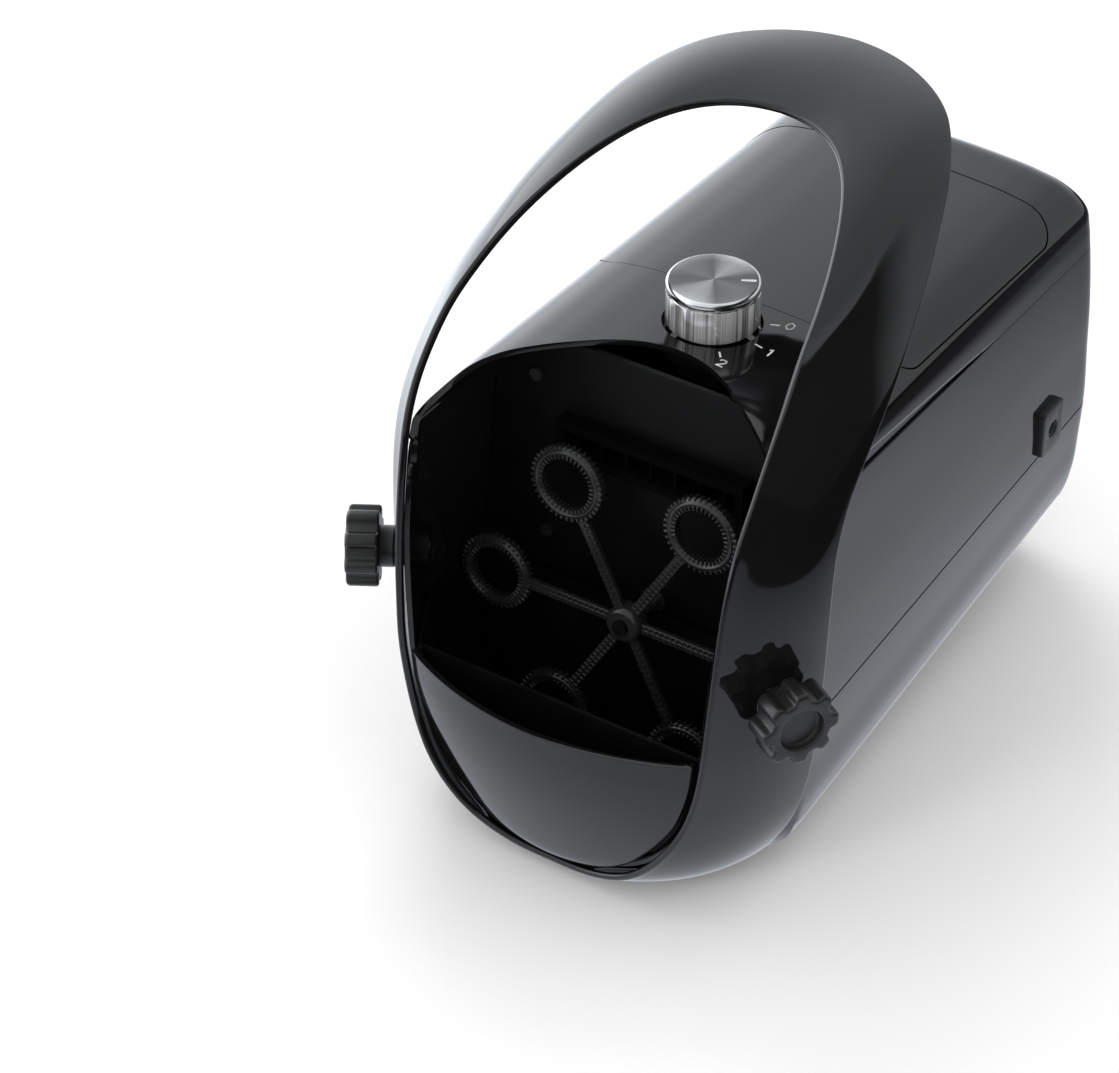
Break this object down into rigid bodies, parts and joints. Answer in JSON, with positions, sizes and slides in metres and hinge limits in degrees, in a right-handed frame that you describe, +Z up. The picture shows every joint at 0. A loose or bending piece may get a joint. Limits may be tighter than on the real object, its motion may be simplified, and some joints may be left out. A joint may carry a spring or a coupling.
{
  "type": "bubble machine",
  "caption": "Portable bubble machine with a turning ring wheel in an open mouth, a speed dial, rubber feet and a closed carrying bow clamped by two star knobs.",
  "frame": {"origin": "middle of the bounding box on the plane the feet stand on", "axes": "+Z up, +Y from the mouth to the rear, +X to the right hand side seen from the front"},
  "size_m": [0.2398, 0.3454, 0.2967],
  "materials": {
    "gloss_black": "high gloss injection moulded black ABS",
    "satin_black": "fine satin moulded black plastic",
    "spun_aluminium": "spun face, polished side and bevel",
    "white_print": "white pad print",
    "rubber_black": "matt",
    "zinc_steel": "zinc plated",
    "brass": "turned",
    "nylon_natural": "natural nylon",
    "cell_wrap": "shrink wrap",
    "board_green": "solder mask",
    "lead_red": "soft insulation"
  },
  "bodies": {
    "casing": {"top_cover": "gloss_black", "top_panel": "gloss_black", "middle_shell": "gloss_black", "bottom_tub": "gloss_black", "front_panel": "gloss_black", "fluid_tank": "satin_black", "bulkhead": "satin_black", "air_nozzle": "satin_black", "axle_bush": "brass", "carry_bow": "gloss_black", "knob_insert_left": "brass", "knob_insert_right": "brass", "knob_washer_left": "rubber_black", "knob_washer_right": "rubber_black", "gear_motor": "zinc_steel", "motor_bracket": "zinc_steel", "fan_housing": "satin_black", "fan_motor": "zinc_steel", "rotary_switch": "satin_black", "switch_nut": "zinc_steel", "dial_marks": "white_print", "jack_bezel": "satin_black", "charge_jack": "satin_black", "jack_nut": "zinc_steel", "battery_cells": "cell_wrap", "battery_holder": "satin_black", "circuit_board": "board_green", "board_pillars": "nylon_natural", "rubber_feet": "rubber_black", "foot_screws": "zinc_steel", "casing_screws": "zinc_steel", "bulkhead_screws": "zinc_steel", "motor_lead": "lead_red", "fan_lead": "lead_red", "charge_lead": "lead_red", "switch_lead": "lead_red", "battery_lead": "lead_red"},
    "knob_left": {"star_knob_left": "satin_black", "knob_stud_left": "zinc_steel"},
    "knob_right": {"star_knob_right": "satin_black", "knob_stud_right": "zinc_steel"},
    "dial": {"dial_knob": "spun_aluminium", "dial_pointer": "white_print", "switch_shaft": "zinc_steel"},
    "wheel": {"wand_wheel": "satin_black", "wheel_axle": "zinc_steel", "wheel_screw": "zinc_steel", "drive_gear": "nylon_natural"},
    "motor_rotor": {"motor_pinion": "nylon_natural", "motor_shaft": "zinc_steel"},
    "fan_rotor": {"fan_impeller": "satin_black", "fan_shaft": "zinc_steel"}
  },
  "joints": [
    {"name": "knob_left_turn", "type": "hinge", "parent": "casing", "child": "knob_left", "pos_m": [-0.10089, -0.13723, 0.121], "axis": [-0.8616, -0.5075, 0], "range_deg": [0, 540]},
    {"name": "knob_right_turn", "type": "hinge", "parent": "casing", "child": "knob_right", "pos_m": [0.10089, -0.13723, 0.121], "axis": [0.8616, -0.5075, 0], "range_deg": [0, 540]},
    {"name": "dial_turn", "type": "hinge", "parent": "casing", "child": "dial", "pos_m": [0, -0.03365, 0.226], "axis": [0, 0, -1], "range_deg": [0, 80]},
    {"name": "wheel_spin", "type": "hinge", "parent": "casing", "child": "wheel", "pos_m": [0, -0.09815, 0.0976], "axis": [0, -0.9962, 0.0872], "continuous": true},
    {"name": "motor_spin", "type": "hinge", "parent": "casing", "child": "motor_rotor", "pos_m": [-0.03005, -0.09815, 0.0976], "axis": [0, -0.9962, 0.0872], "continuous": true},
    {"name": "fan_spin", "type": "hinge", "parent": "casing", "child": "fan_rotor", "pos_m": [0.02, -0.03115, 0.138], "axis": [0, 1, 0], "continuous": true}
  ],
  "couplings": [
    {"joint": "motor_spin", "follows": "wheel_spin", "ratio": -4}
  ]
}
